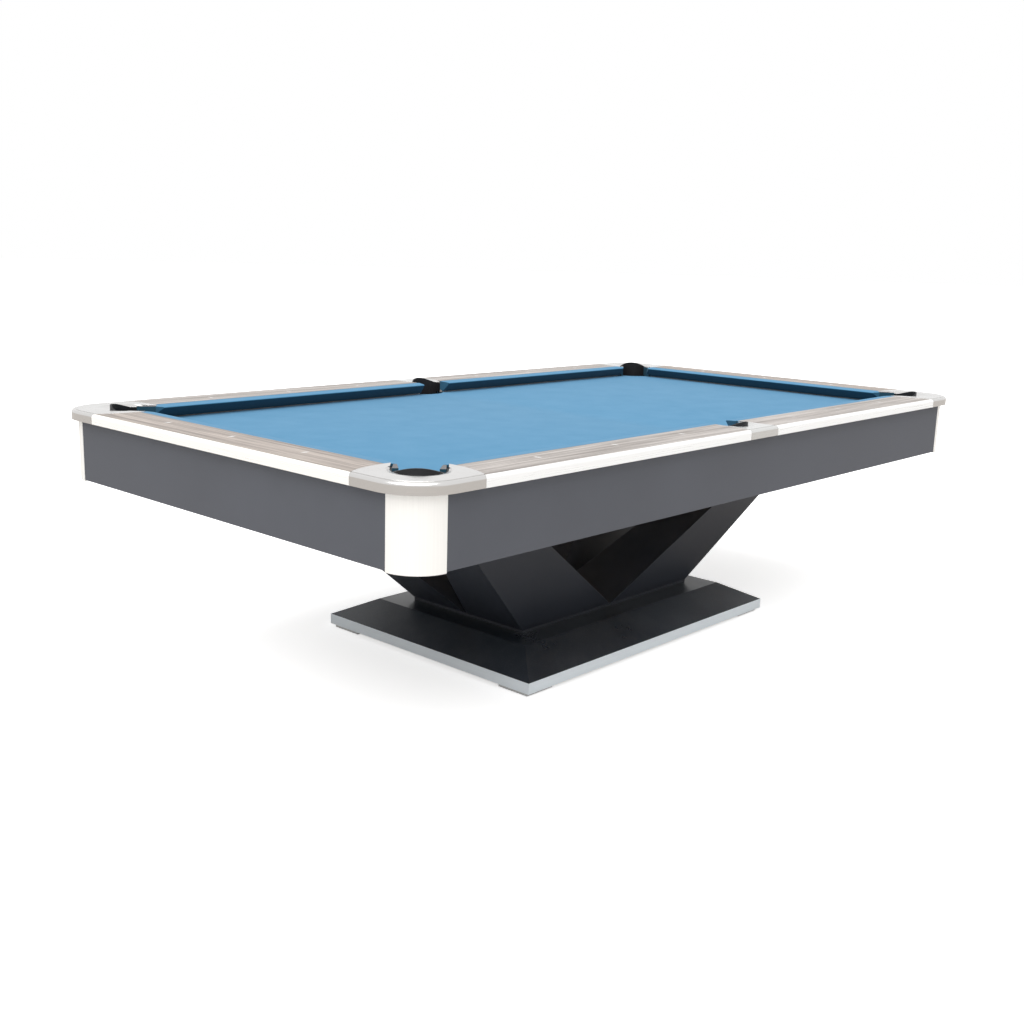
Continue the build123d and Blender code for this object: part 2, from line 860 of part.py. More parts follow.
with BuildPart() as pedestal_foot:
    with BuildSketch(Plane.XY.offset(plate_z)):
        Rectangle(2 * limb_foot_x, 2 * limb_foot_y)
    extrude(amount=limb_bottom_z - plate_z)
save(pedestal_foot.part, "pedestal_foot_plate")

# ---------------------------------------------------------------- plinth
with BuildPart() as plinth_board:
    with BuildSketch(Plane.XY.offset(plinth_bottom)):
        Rectangle(2 * (plinth_x - band_thickness), 2 * (plinth_y - band_thickness))
    extrude(amount=band_top - plinth_bottom)
    with Locations(*[(sx * foot_x, sy * foot_y, plinth_bottom) for sx in (1, -1) for sy in (1, -1)]):
        Cylinder(24, 2 * (nut_bottom - plinth_bottom), mode=Mode.SUBTRACT)
        Cylinder(18.5, 100, mode=Mode.SUBTRACT)
save(plinth_board.part, "plinth_board")

with BuildPart() as long_band:
    with BuildSketch(Plane.XY.offset(plinth_bottom)):
        with BuildLine():
            Polyline(
                (-plinth_x, plinth_y),
                (plinth_x, plinth_y),
                (plinth_x - band_thickness, plinth_y - band_thickness),
                (band_thickness - plinth_x, plinth_y - band_thickness),
                close=True,
            )
        make_face()
    extrude(amount=band_top - plinth_bottom)
    mirror(about=Plane.XZ)
with BuildPart() as end_band:
    with BuildSketch(Plane.XY.offset(plinth_bottom)):
        with BuildLine():
            Polyline(
                (plinth_x, -plinth_y),
                (plinth_x, plinth_y),
                (plinth_x - band_thickness, plinth_y - band_thickness),
                (plinth_x - band_thickness, band_thickness - plinth_y),
                close=True,
            )
        make_face()
    extrude(amount=band_top - plinth_bottom)
    mirror(about=Plane.YZ)
save(long_band.part, "plinth_bands_long")
save(end_band.part, "plinth_bands_end")


def plinth_section(z, inset):
    """The hipped top narrows evenly from the band to the plateau."""
    share = (z - band_top) / (plate_z - band_top)
    with BuildSketch(Plane.XY.offset(z)) as section:
        Rectangle(
            2 * (plinth_x - 1 - (plinth_x - 1 - plateau_x) * share - inset),
            2 * (plinth_y - 1 - (plinth_y - 1 - plateau_y) * share - inset),
        )
    return section.sketch


with BuildPart() as plinth_hood:
    add(plinth_section(band_top, 0))
    add(plinth_section(plate_z, 0))
    loft(ruled=True)
    under = [plinth_section(band_top, 28), plinth_section(plate_z - hood_wall, 28)]
    loft(sections=under, ruled=True, mode=Mode.SUBTRACT)
save(plinth_hood.part, "plinth_hood")

# ---------------------------------------------------------------- levelling feet
with BuildPart() as foot_pad:
    with Locations((foot_x, foot_y, foot_top / 2)):
        Box(foot_size, foot_size, foot_top)
    # two grooves divide the edge into three stacked plates
    for groove_z in (3.9, 7.8):
        with BuildSketch(Plane.XY.offset(groove_z)):
            with Locations((foot_x, foot_y)):
                Rectangle(foot_size, foot_size)
                Rectangle(foot_size - 3, foot_size - 3, mode=Mode.SUBTRACT)
        extrude(amount=0.6, mode=Mode.SUBTRACT)
    with Locations((foot_x, foot_y, foot_top)):
        Cylinder(8.05, 2 * (foot_top - 6.95), mode=Mode.SUBTRACT)
save_quarters(foot_pad.part, "foot_pad")

collar_bottom, collar_top, screw_top = plinth_bottom, 22.3, 58
with BuildPart() as screw:
    with BuildSketch(Plane.XY.offset(7)):
        with Locations((foot_x, foot_y)):
            Circle(8)
    extrude(amount=collar_bottom - 7)
    with BuildSketch(Plane.XY.offset(collar_bottom)):
        with Locations((foot_x, foot_y)):
            RegularPolygon(screw_collar, 6, major_radius=False)
    extrude(amount=collar_top - collar_bottom)
    with BuildSketch(Plane.XY.offset(collar_top)):
        with Locations((foot_x, foot_y)):
            Circle(screw_r)
    extrude(amount=screw_top - collar_top)
    chamfer(screw.edges().group_by(Axis.Z)[-1], length=1)
save_quarters(screw.part, "levelling_screw")

with BuildPart() as nut:
    with BuildSketch(Plane.XY.offset(nut_bottom)):
        with Locations((foot_x, foot_y)):
            Circle(18)
    extrude(amount=band_top - nut_bottom)
    with BuildSketch(Plane.XY.offset(band_top)):
        with Locations((foot_x, foot_y)):
            Circle(26)
    extrude(amount=nut_top - band_top)
    with Locations((foot_x, foot_y, nut_bottom)):
        Cylinder(screw_r + 0.05, 60, mode=Mode.SUBTRACT)
save(four_of(nut.part), "leveller_nuts")
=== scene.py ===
import math
import bmesh
import bpy
from mathutils import Matrix, Vector


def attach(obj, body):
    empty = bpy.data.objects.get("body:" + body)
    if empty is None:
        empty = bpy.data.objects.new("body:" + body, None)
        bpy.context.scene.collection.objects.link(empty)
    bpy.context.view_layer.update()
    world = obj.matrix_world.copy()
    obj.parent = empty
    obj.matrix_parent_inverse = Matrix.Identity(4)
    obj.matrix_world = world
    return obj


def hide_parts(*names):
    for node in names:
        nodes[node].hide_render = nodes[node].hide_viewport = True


# Pool table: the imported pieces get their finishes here, and the bed cloth, the cushions and
# the sights are made new. Metres, floor at z = 0, X along the table, front at -Y.

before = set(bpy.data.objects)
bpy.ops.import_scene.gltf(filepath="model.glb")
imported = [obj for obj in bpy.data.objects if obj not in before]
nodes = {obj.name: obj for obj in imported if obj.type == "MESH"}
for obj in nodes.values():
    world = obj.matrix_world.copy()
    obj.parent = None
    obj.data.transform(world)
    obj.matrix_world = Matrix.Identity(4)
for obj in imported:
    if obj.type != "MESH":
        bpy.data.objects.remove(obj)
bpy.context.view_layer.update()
print("frame loaded,", len(nodes), "pieces")

# the camera, low beyond the front left corner
viewSetup = {
    "place": (-3.1428, -2.6449, 1.3052),
    "heading": 42.6,  # degrees from +X towards +Y
    "tilt": 12.1,  # degrees below level
    "roll": 1.62,
    "lens": 41.1,
    "sensor": 36,
    "farClip": 200,
    "shift": (0.0044, -0.0086),
}


def makeCamera(setup):
    heading, tilt, roll = (math.radians(setup[key]) for key in ("heading", "tilt", "roll"))
    ahead = Vector((math.cos(heading), math.sin(heading), 0))
    forward = ahead * math.cos(tilt) - Vector((0, 0, math.sin(tilt)))
    level = Vector((math.sin(heading), -math.cos(heading), 0))
    upright = level.cross(forward)
    right = level * math.cos(roll) + upright * math.sin(roll)
    up = upright * math.cos(roll) - level * math.sin(roll)
    data = bpy.data.cameras.new("tableCamera")
    data.lens = setup["lens"]
    data.sensor_width = setup["sensor"]
    data.shift_x, data.shift_y = setup["shift"]
    data.clip_end = setup["farClip"]
    camera = bpy.data.objects.new("tableCamera", data)
    bpy.context.scene.collection.objects.link(camera)
    turned = Matrix((right, up, -forward)).transposed().to_4x4()
    camera.matrix_world = Matrix.Translation(setup["place"]) @ turned
    bpy.context.scene.camera = camera


makeCamera(viewSetup)

# the studio: pale floor, white surround and a broad soft light from above
studio = {
    "floorRadius": 80,
    "floorSegments": 96,
    "floorRoughness": 0.85,
    "floorColour": (0.92, 0.92, 0.92, 1),
    "floorInMetal": (0.52, 0.49, 0.46, 1),  # what the floor looks like mirrored in the metal and lacquer
    "floorGlow": 0.6,  # lifts the floor as the camera sees it, so the shadow stays faint
    "surround": 1.0,
    "surroundOnMatt": 0.6,  # what the surround gives to matt surfaces
    "lightPower": 2.7,
    "lightSpread": 70,  # degrees across
    "lightFrom": (-0.45, -0.25, 1.0),
}


def makeWorld(setup):
    world = bpy.data.worlds.new("whiteSurround")
    bpy.context.scene.world = world
    world.use_nodes = True
    tree = world.node_tree
    background = tree.nodes["Background"]
    background.inputs["Color"].default_value = (1, 1, 1, 1)
    matt = add(tree, "LightPath").outputs["Is Diffuse Ray"]
    strength = remap(tree, matt, 0, 1, setup["surround"], setup["surroundOnMatt"])
    feed(tree, background.inputs["Strength"], strength)


def makeStudio(setup):
    scene = bpy.context.scene
    scene.view_settings.view_transform = "Standard"
    scene.view_settings.look = "None"
    makeWorld(setup)
    data = bpy.data.lights.new("softLight", "SUN")
    data.energy = setup["lightPower"]
    data.angle = math.radians(setup["lightSpread"])
    light = bpy.data.objects.new("softLight", data)
    scene.collection.objects.link(light)
    light.rotation_euler = Vector(setup["lightFrom"]).to_track_quat("Z", "Y").to_euler()
    mesh = bpy.data.meshes.new("floor")
    shape = bmesh.new()
    segments, radius = setup["floorSegments"], setup["floorRadius"]
    bmesh.ops.create_circle(shape, cap_ends=True, segments=segments, radius=radius)
    shape.to_mesh(mesh)
    shape.free()
    floor = bpy.data.objects.new("floor", mesh)
    scene.collection.objects.link(floor)
    material, tree, surface = newMaterial("paleFloor")
    shiny = add(tree, "LightPath").outputs["Is Glossy Ray"]
    colour = blendColours(tree, shiny, setup["floorColour"], setup["floorInMetal"])
    feed(tree, surface.inputs["Base Color"], colour)
    surface.inputs["Roughness"].default_value = setup["floorRoughness"]
    seen = add(tree, "LightPath").outputs["Is Camera Ray"]
    surface.inputs["Emission Color"].default_value = (1, 1, 1, 1)
    feed(tree, surface.inputs["Emission Strength"], calc(tree, "MULTIPLY", seen, setup["floorGlow"]))
    mesh.materials.append(material)


# short ways to make and join shader nodes
def newMaterial(name):
    material = bpy.data.materials.new(name)
    material.use_nodes = True
    tree = material.node_tree
    tree.nodes.clear()
    surface = tree.nodes.new("ShaderNodeBsdfPrincipled")
    output = tree.nodes.new("ShaderNodeOutputMaterial")
    tree.links.new(surface.outputs["BSDF"], output.inputs["Surface"])
    return material, tree, surface


def feed(tree, socket, value):
    if isinstance(value, bpy.types.NodeSocket):
        tree.links.new(value, socket)
    else:
        socket.default_value = value


def add(tree, kind, values=None, **settings):
    node = tree.nodes.new("ShaderNode" + kind)
    for key, value in settings.items():
        setattr(node, key, value)
    for key, value in (values or {}).items():
        feed(tree, node.inputs[key], value)
    return node


def calc(tree, operation, a, b=0.0, clamped=False):
    node = add(tree, "Math", {0: a, 1: b}, operation=operation, use_clamp=clamped)
    return node.outputs[0]


def blendColours(tree, factor, a, b, mode="MIX"):
    node = add(tree, "Mix", {0: factor, 6: a, 7: b}, data_type="RGBA", blend_type=mode)
    return node.outputs[2]


def remap(tree, value, fromLow, fromHigh, toLow=0.0, toHigh=1.0):
    limits = {"Value": value, "From Min": fromLow, "From Max": fromHigh, "To Min": toLow, "To Max": toHigh}
    return add(tree, "MapRange", limits).outputs[0]


def noiseOf(tree, vector, scale, detail=3.0, rough=0.55, distortion=0.0):
    values = {"Vector": vector, "Scale": scale, "Detail": detail, "Roughness": rough}
    values["Distortion"] = distortion
    return add(tree, "TexNoise", values).outputs[0]


def stretched(tree, vector, scale, turn=0.0):
    return add(tree, "Mapping", {"Vector": vector, "Scale": scale, "Rotation": (0, 0, turn)}).outputs[0]


def newGroup(name, inputs, outputs):
    group = bpy.data.node_groups.new(name, "ShaderNodeTree")
    kinds = {float: "NodeSocketFloat", tuple: "NodeSocketVector", list: "NodeSocketColor"}
    for label, value in inputs.items():
        socket = group.interface.new_socket(label, in_out="INPUT", socket_type=kinds[type(value)])
        socket.default_value = value
    for label, value in outputs.items():
        group.interface.new_socket(label, in_out="OUTPUT", socket_type=kinds[value])
    return group, group.nodes.new("NodeGroupInput").outputs, group.nodes.new("NodeGroupOutput").inputs


def place(tree, group, **values):
    node = tree.nodes.new("ShaderNodeGroup")
    node.node_tree = group
    for key, value in values.items():
        feed(tree, node.inputs[key], value)
    return node.outputs


def objectPoint(tree):
    return add(tree, "TexCoord").outputs["Object"]


def bump(tree, height, strength, distance=0.001, normal=None):
    values = {"Height": height, "Strength": strength, "Distance": distance}
    if normal is not None:
        values["Normal"] = normal
    return add(tree, "Bump", values).outputs[0]


# effects shared by several materials
def makeEdgeWear():
    group, given, out = newGroup(
        "edgeWear",
        {"Point": (0.0, 0.0, 0.0), "Radius": 0.001, "Strength": 3.0, "Breakup": 60.0},
        {"Worn": float, "Rounded": tuple},
    )
    rounded = add(group, "Bevel", {"Radius": given["Radius"]}, samples=4).outputs[0]
    flat = add(group, "NewGeometry").outputs["Normal"]
    agree = add(group, "VectorMath", {0: rounded, 1: flat}, operation="DOT_PRODUCT").outputs["Value"]
    edge = calc(group, "MULTIPLY", calc(group, "SUBTRACT", 1.0, agree), given["Strength"], True)
    patches = remap(group, noiseOf(group, given["Point"], given["Breakup"]), 0.38, 0.62)
    group.links.new(calc(group, "MULTIPLY", edge, patches, True), out["Worn"])
    group.links.new(rounded, out["Rounded"])
    return group


def makeMetalBrush():
    group, given, out = newGroup(
        "metalBrush",
        {"Point": (0.0, 0.0, 0.0), "Along": (4.0, 4.0, 900.0), "Patches": 5.0},
        {"Streak": float, "Haze": float},
    )
    lines = add(group, "VectorMath", {0: given["Point"], 1: given["Along"]}, operation="MULTIPLY").outputs[0]
    coarse = noiseOf(group, lines, 1.0, 4.0, 0.7)
    group.links.new(remap(group, coarse, 0.3, 0.7), out["Streak"])
    patches = noiseOf(group, given["Point"], given["Patches"], 2.0)
    group.links.new(remap(group, patches, 0.35, 0.65), out["Haze"])
    return group


def makeOakGrain():
    group, given, out = newGroup(
        "oakGrain",
        {
            "Point": (0.0, 0.0, 0.0),
            "Light": [0.6, 0.57, 0.53, 1.0],
            "Dark": [0.25, 0.22, 0.2, 1.0],
            "Board": 0.6,
            "Seed": 0.0,
        },
        {"Colour": list, "Fibre": float, "Height": float},
    )
    shift = add(group, "CombineXYZ", {"X": given["Seed"], "Y": given["Seed"]}).outputs[0]
    grainPoint = add(group, "VectorMath", {0: given["Point"], 1: shift}, operation="ADD").outputs[0]
    broad = noiseOf(group, stretched(group, grainPoint, (0.9, 26, 26)), 1.0, 3.0, 0.6, 0.6)
    bands = noiseOf(group, stretched(group, grainPoint, (2.2, 120, 120)), 1.0, 5.0, 0.65, 0.4)
    fibres = noiseOf(group, stretched(group, grainPoint, (9, 620, 620)), 1.0, 3.0, 0.7)
    pores = noiseOf(group, stretched(group, grainPoint, (26, 1100, 1100)), 1.0, 2.0, 0.5)
    bandMask = remap(group, bands, 0.36, 0.66)
    body = calc(group, "ADD", calc(group, "MULTIPLY", broad, 0.55), calc(group, "MULTIPLY", bandMask, 0.45))
    depth = remap(group, body, 0.28, 0.72)
    poreMask = remap(group, pores, 0.6, 0.72)
    shade = blendColours(group, depth, given["Dark"], given["Light"])
    fineShade = remap(group, fibres, 0.3, 0.7, 0.86, 1.08)
    tone = add(group, "CombineXYZ", {"X": fineShade, "Y": fineShade, "Z": fineShade}).outputs[0]
    fine = blendColours(group, 1.0, shade, tone, "MULTIPLY")
    poreShade = calc(group, "MULTIPLY", poreMask, 0.35)
    group.links.new(blendColours(group, poreShade, fine, given["Dark"]), out["Colour"])
    group.links.new(fibres, out["Fibre"])
    group.links.new(calc(group, "SUBTRACT", fibres, calc(group, "MULTIPLY", poreMask, 0.8)), out["Height"])
    return group


def makeWorstedWeave():
    group, given, out = newGroup(
        "worstedWeave",
        {"Point": (0.0, 0.0, 0.0), "Threads": 1500.0, "Mottle": 9.0},
        {"Thread": float, "Nap": float, "Lint": float},
    )
    threads = {"Vector": given["Point"], "Scale": given["Threads"], "Distortion": 0.6}
    warp = add(group, "TexWave", threads).outputs[1]
    weft = add(group, "TexWave", threads, bands_direction="Y").outputs[1]
    group.links.new(calc(group, "MAXIMUM", warp, weft), out["Thread"])
    broad = noiseOf(group, given["Point"], given["Mottle"], 4.0, 0.6)
    group.links.new(remap(group, broad, 0.3, 0.7), out["Nap"])
    lint = noiseOf(group, stretched(group, given["Point"], (260, 900, 400), 0.3), 1.0, 2.0, 0.5)
    group.links.new(remap(group, lint, 0.66, 0.74), out["Lint"])
    return group


def makePaintFilm():
    group, given, out = newGroup(
        "paintFilm", {"Point": (0.0, 0.0, 0.0), "Peel": 420.0, "Patches": 3.0}, {"Peel": float, "Haze": float}
    )
    group.links.new(noiseOf(group, given["Point"], given["Peel"], 2.0, 0.5), out["Peel"])
    patches = noiseOf(group, given["Point"], given["Patches"], 4.0, 0.6)
    group.links.new(remap(group, patches, 0.3, 0.7), out["Haze"])
    return group


def makePebbleGrain():
    group, given, out = newGroup(
        "pebbleGrain", {"Point": (0.0, 0.0, 0.0), "Size": 420.0}, {"Height": float, "Crease": float}
    )
    uneven = noiseOf(group, given["Point"], 90.0, 2.0)
    lumpy = calc(group, "ADD", given["Size"], calc(group, "MULTIPLY", uneven, 40.0))
    cells = add(
        group, "TexVoronoi", {"Vector": given["Point"], "Scale": lumpy}, feature="SMOOTH_F1"
    ).outputs["Distance"]
    group.links.new(calc(group, "SUBTRACT", 1.0, cells), out["Height"])
    group.links.new(remap(group, cells, 0.35, 0.7), out["Crease"])
    return group


def makeDustFilm():
    group, given, out = newGroup(
        "dustFilm", {"Point": (0.0, 0.0, 0.0), "Amount": 0.2, "Speckle": 240.0}, {"Dust": float}
    )
    up = add(group, "SeparateXYZ", {"Vector": add(group, "NewGeometry").outputs["Normal"]}).outputs["Z"]
    facing = remap(group, up, 0.15, 0.95)
    clouds = remap(group, noiseOf(group, given["Point"], 6.0, 5.0, 0.62), 0.35, 0.75)
    specks = remap(group, noiseOf(group, given["Point"], given["Speckle"], 2.0, 0.5), 0.5, 0.72)
    both = calc(group, "ADD", calc(group, "MULTIPLY", clouds, 0.7), calc(group, "MULTIPLY", specks, 0.5))
    settled = calc(group, "MULTIPLY", both, facing)
    group.links.new(calc(group, "MULTIPLY", settled, given["Amount"], True), out["Dust"])
    return group


edgeWear = makeEdgeWear()
metalBrush = makeMetalBrush()
oakGrain = makeOakGrain()
worstedWeave = makeWorstedWeave()
paintFilm = makePaintFilm()
pebbleGrain = makePebbleGrain()
dustFilm = makeDustFilm()
print("shared effects ready")


# the materials; along gives how finely the streaks repeat on each axis
def brushedMetal(name, base, streaked, rough, along, metallic=1.0, bumpy=0.04, dustiness=0.12):
    material, tree, surface = newMaterial(name)
    point = objectPoint(tree)
    brush = place(tree, metalBrush, Point=point, Along=along)
    wear = place(tree, edgeWear, Point=point, Radius=0.0012, Strength=2.2)
    dust = place(tree, dustFilm, Point=point, Amount=dustiness)
    colour = blendColours(tree, brush["Streak"], (*streaked, 1), (*base, 1))
    colour = blendColours(tree, calc(tree, "MULTIPLY", brush["Haze"], 0.18), colour, (*streaked, 1))
    colour = blendColours(tree, calc(tree, "MULTIPLY", wear["Worn"], 0.5), colour, (*base, 1))
    feed(tree, surface.inputs["Base Color"], colour)
    feed(tree, surface.inputs["Metallic"], metallic)
    streaks = remap(tree, brush["Streak"], 0.0, 1.0, rough + 0.05, rough - 0.05)
    dulled = calc(tree, "MULTIPLY", dust["Dust"], 0.5)
    feed(tree, surface.inputs["Roughness"], calc(tree, "ADD", streaks, dulled))
    feed(tree, surface.inputs["Normal"], bump(tree, brush["Streak"], bumpy, 0.0004, wear["Rounded"]))
    return material


def lacquered(name, base, worn, rough, peel=0.05, dustiness=0.15, edge=0.0015, specular=0.5):
    material, tree, surface = newMaterial(name)
    point = objectPoint(tree)
    film = place(tree, paintFilm, Point=point)
    wear = place(tree, edgeWear, Point=point, Radius=edge, Strength=2.0)
    dust = place(tree, dustFilm, Point=point, Amount=dustiness)
    darker = tuple(0.88 * value for value in base)
    colour = blendColours(tree, film["Haze"], (*darker, 1), (*base, 1))
    colour = blendColours(tree, calc(tree, "MULTIPLY", wear["Worn"], 0.6), colour, (*worn, 1))
    colour = blendColours(tree, calc(tree, "MULTIPLY", dust["Dust"], 0.35), colour, (0.42, 0.42, 0.42, 1))
    feed(tree, surface.inputs["Base Color"], colour)
    roughness = remap(tree, film["Haze"], 0.0, 1.0, rough - 0.04, rough + 0.05)
    dulled = calc(tree, "MULTIPLY", dust["Dust"], 0.3)
    feed(tree, surface.inputs["Roughness"], calc(tree, "ADD", roughness, dulled))
    feed(tree, surface.inputs["Normal"], bump(tree, film["Peel"], peel, 0.0006, wear["Rounded"]))
    surface.inputs["Specular IOR Level"].default_value = specular
    return material


def railLaminate(name, light, dark, turned, seed):
    material, tree, surface = newMaterial(name)
    point = objectPoint(tree)
    alongRail = stretched(tree, point, (1, 1, 1), math.radians(90) if turned else 0.0)
    oak = place(tree, oakGrain, Point=alongRail, Light=(*light, 1), Dark=(*dark, 1), Seed=seed)
    wear = place(tree, edgeWear, Point=point, Radius=0.0008, Strength=1.5)
    rubbed = calc(tree, "MULTIPLY", wear["Worn"], 0.4)
    lighter = blendColours(tree, rubbed, oak["Colour"], (0.7, 0.67, 0.62, 1))
    feed(tree, surface.inputs["Base Color"], lighter)
    feed(tree, surface.inputs["Roughness"], remap(tree, oak["Fibre"], 0.2, 0.8, 0.5, 0.36))
    feed(tree, surface.inputs["Normal"], bump(tree, oak["Height"], 0.12, 0.0005, wear["Rounded"]))
    return material


def plainWood(name, light, dark, turned, rough=0.7):
    material, tree, surface = newMaterial(name)
    point = objectPoint(tree)
    alongBoard = stretched(tree, point, (1, 1, 1), math.radians(90) if turned else 0.0)
    oak = place(tree, oakGrain, Point=alongBoard, Light=(*light, 1), Dark=(*dark, 1), Seed=3.7)
    feed(tree, surface.inputs["Base Color"], oak["Colour"])
    feed(tree, surface.inputs["Roughness"], remap(tree, oak["Fibre"], 0.2, 0.8, rough + 0.05, rough - 0.08))
    feed(tree, surface.inputs["Normal"], bump(tree, oak["Height"], 0.25, 0.0008))
    return material


# painted shade: deep navy given to the cloth under the cushion nose and on the pocket facings
paintedShadeNavy = (0.014, 0.062, 0.098)


# how far a surface looks up: 1 on top, 0 on an upright face, -1 underneath
def upwards(tree):
    return add(tree, "SeparateXYZ", {"Vector": add(tree, "NewGeometry").outputs["Normal"]}).outputs["Z"]


def billiardCloth(name, usesMap):
    material, tree, surface = newMaterial(name)
    point = add(tree, "TexCoord").outputs["UV"] if usesMap else objectPoint(tree)
    weave = place(tree, worstedWeave, Point=point)
    nap = blendColours(tree, weave["Nap"], (0.080, 0.245, 0.41, 1), (0.094, 0.264, 0.435, 1))
    threads = blendColours(tree, calc(tree, "MULTIPLY", weave["Thread"], 0.10), nap, (0.13, 0.33, 0.5, 1))
    linty = blendColours(tree, calc(tree, "MULTIPLY", weave["Lint"], 0.12), threads, (0.28, 0.42, 0.54, 1))
    if usesMap:  # painted shade: the cloth under the nose and on the facings is darkened to deep navy
        linty = blendColours(tree, remap(tree, upwards(tree), 0.3, -0.1), linty, (*paintedShadeNavy, 1))
    feed(tree, surface.inputs["Base Color"], linty)
    feed(tree, surface.inputs["Roughness"], remap(tree, weave["Nap"], 0.0, 1.0, 0.88, 0.8))
    feed(tree, surface.inputs["Normal"], bump(tree, weave["Thread"], 0.08, 0.0002))
    surface.inputs["Specular IOR Level"].default_value = 0.2
    surface.inputs["Sheen Weight"].default_value = 0.1
    surface.inputs["Sheen Roughness"].default_value = 0.45
    return material


# mottled grey rubber on top; its upright sides, where the cushions' cloth is glued, are painted deep navy as
# painted shade
def facingRubber(name, grey, rough):
    material, tree, surface = newMaterial(name)
    point = objectPoint(tree)
    mottle = remap(tree, noiseOf(tree, point, 190.0, 4.0, 0.65), 0.36, 0.64)
    wear = place(tree, edgeWear, Point=point, Radius=0.0012, Strength=1.6)
    darker = tuple(0.6 * value for value in grey)
    top = blendColours(tree, mottle, (*darker, 1), (*grey, 1))
    # upright faces blended to deep navy: painted shade
    colour = blendColours(tree, remap(tree, upwards(tree), 0.2, 0.7), (*paintedShadeNavy, 1), top)
    feed(tree, surface.inputs["Base Color"], colour)
    feed(tree, surface.inputs["Roughness"], remap(tree, mottle, 0.0, 1.0, rough, rough + 0.1))
    feed(tree, surface.inputs["Normal"], bump(tree, mottle, 0.15, 0.0005, wear["Rounded"]))
    surface.inputs["Specular IOR Level"].default_value = 0.3
    return material


def grainedRubber(name, base, rough, size, strength):
    material, tree, surface = newMaterial(name)
    point = objectPoint(tree)
    pebbles = place(tree, pebbleGrain, Point=point, Size=size)
    wear = place(tree, edgeWear, Point=point, Radius=0.0015, Strength=1.6)
    dust = place(tree, dustFilm, Point=point, Amount=0.12)
    creaseShade = tuple(0.55 * value for value in base)
    worn = tuple(0.03 + 2.0 * value for value in base)
    # pebble creases darkened: painted shade
    colour = blendColours(tree, pebbles["Crease"], (*base, 1), (*creaseShade, 1))
    colour = blendColours(tree, calc(tree, "MULTIPLY", wear["Worn"], 0.35), colour, (*worn, 1))
    colour = blendColours(tree, calc(tree, "MULTIPLY", dust["Dust"], 0.3), colour, (0.2, 0.24, 0.3, 1))
    surface.inputs["Specular IOR Level"].default_value = 0.3
    feed(tree, surface.inputs["Base Color"], colour)
    feed(tree, surface.inputs["Roughness"], remap(tree, pebbles["Crease"], 0.0, 1.0, rough, rough + 0.2))
    feed(tree, surface.inputs["Normal"], bump(tree, pebbles["Height"], strength, 0.0006, wear["Rounded"]))
    return material


def honedSlate():
    material, tree, surface = newMaterial("honedSlate")
    point = objectPoint(tree)
    layers = noiseOf(tree, stretched(tree, point, (6, 6, 160)), 1.0, 5.0, 0.65, 0.5)
    flecks = remap(tree, noiseOf(tree, point, 300.0, 2.0), 0.6, 0.75)
    layered = remap(tree, layers, 0.3, 0.7)
    colour = blendColours(tree, layered, (0.085, 0.095, 0.105, 1), (0.15, 0.16, 0.17, 1))
    flecked = blendColours(tree, calc(tree, "MULTIPLY", flecks, 0.3), colour, (0.3, 0.3, 0.3, 1))
    feed(tree, surface.inputs["Base Color"], flecked)
    feed(tree, surface.inputs["Roughness"], remap(tree, layers, 0.3, 0.7, 0.5, 0.7))
    feed(tree, surface.inputs["Normal"], bump(tree, layers, 0.3, 0.0008))
    return material


def pearlInlay():
    material, tree, surface = newMaterial("pearlInlay")
    point = objectPoint(tree)
    swirl = noiseOf(tree, point, 70.0, 4.0, 0.6, 1.8)
    colour = blendColours(tree, remap(tree, swirl, 0.35, 0.65), (0.86, 0.88, 0.9, 1), (0.97, 0.95, 0.92, 1))
    feed(tree, surface.inputs["Base Color"], colour)
    feed(tree, surface.inputs["Roughness"], remap(tree, swirl, 0.3, 0.7, 0.16, 0.26))
    feed(tree, surface.inputs["Normal"], bump(tree, swirl, 0.05, 0.0004))
    surface.inputs["Coat Weight"].default_value = 0.4
    surface.inputs["Coat Roughness"].default_value = 0.1
    return material


